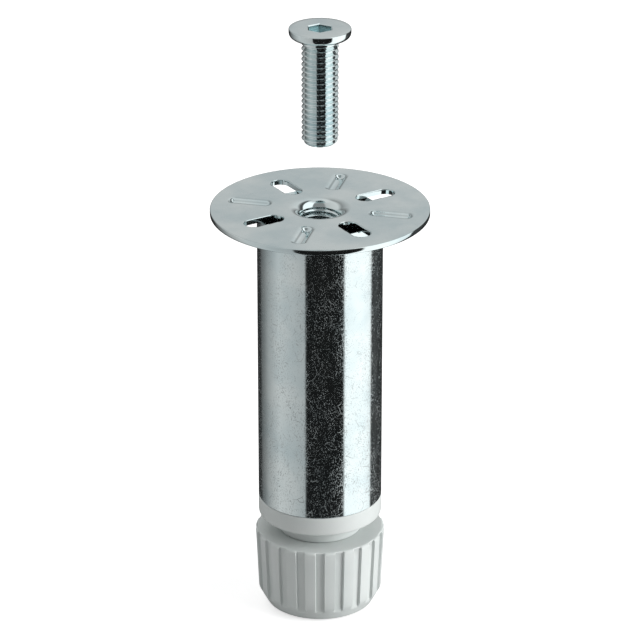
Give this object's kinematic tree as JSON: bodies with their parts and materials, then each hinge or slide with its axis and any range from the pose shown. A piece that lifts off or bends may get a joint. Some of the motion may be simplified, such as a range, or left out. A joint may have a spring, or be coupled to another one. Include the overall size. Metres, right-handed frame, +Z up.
{
  "type": "adjustable cabinet leg",
  "caption": "Round zinc-plated steel cabinet leg with a welded top plate, a ribbed screw-in plastic foot and a flat-headed fixing bolt held above its threaded hole.",
  "frame": {"origin": "on the floor under the middle of the foot", "axes": "+Z up the leg's axis, X and Y through the plate's slots"},
  "size_m": [0.06, 0.06, 0.1711],
  "materials": {
    "plated_plate": "bright zinc plating on stamped sheet steel",
    "plated_tube": "bright zinc plating on drawn steel tube, finely scratched",
    "plated_bolt": "bright zinc plating",
    "insert_plastic": "light grey moulded plastic, satin",
    "foot_plastic": "light grey moulded plastic, satin",
    "glide_plastic": "dark grey plastic, plain"
  },
  "bodies": {
    "glide": {"floor_glide": "glide_plastic"},
    "foot": {"adjusting_foot": "foot_plastic"},
    "leg": {"top_plate": "plated_plate", "leg_tube": "plated_tube", "tube_insert": "insert_plastic"},
    "bolt": {"mounting_bolt": "plated_bolt"}
  },
  "joints": [
    {"name": "foot_turn", "type": "hinge", "parent": "glide", "child": "foot", "pos_m": [0, 0, 0.0228], "axis": [0, 0, -1], "range_deg": [0, 1800]},
    {"name": "leg_rise", "type": "slide", "parent": "glide", "child": "leg", "axis": [0, 0, 1], "range_m": [0, 0.02]},
    {"name": "bolt_travel", "type": "slide", "parent": "leg", "child": "bolt", "axis": [0, 0, -1], "range_m": [0, 0.0491]}
  ],
  "couplings": [
    {"joint": "foot_turn", "follows": "leg_rise", "rad_per_m": 1570.8}
  ]
}
